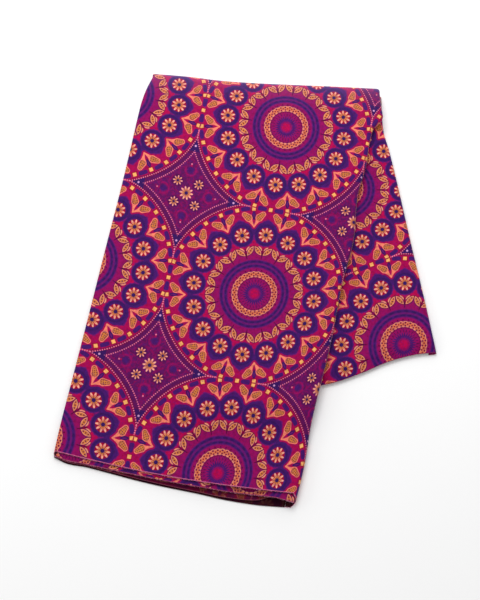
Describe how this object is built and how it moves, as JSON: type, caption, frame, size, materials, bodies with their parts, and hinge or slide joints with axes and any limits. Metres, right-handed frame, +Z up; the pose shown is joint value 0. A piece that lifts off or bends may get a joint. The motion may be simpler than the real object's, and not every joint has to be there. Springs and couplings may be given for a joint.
{
  "type": "folded length of printed cotton cloth",
  "caption": "Length of medallion-print shweshwe cotton, folded lengthwise into a long strip and then over itself, lying flat with the back part fanned out to the right.",
  "frame": {"origin": "middle of the cloth's outline, on the surface that it lies on", "axes": "+Z is up from that surface; +Y runs from the cut ends to the top fold, along the longest side; +X is to the right as seen from above"},
  "size_m": [0.4279, 0.5244, 0.0165],
  "materials": {
    "printed_side": "matt",
    "wrong_side": "matt"
  },
  "bodies": {
    "root": {"front_panel": "printed_side", "front_second_layer": "wrong_side", "front_lower_layers": "wrong_side", "back_flap": "printed_side", "back_under_layers": "wrong_side"}
  },
  "joints": []
}
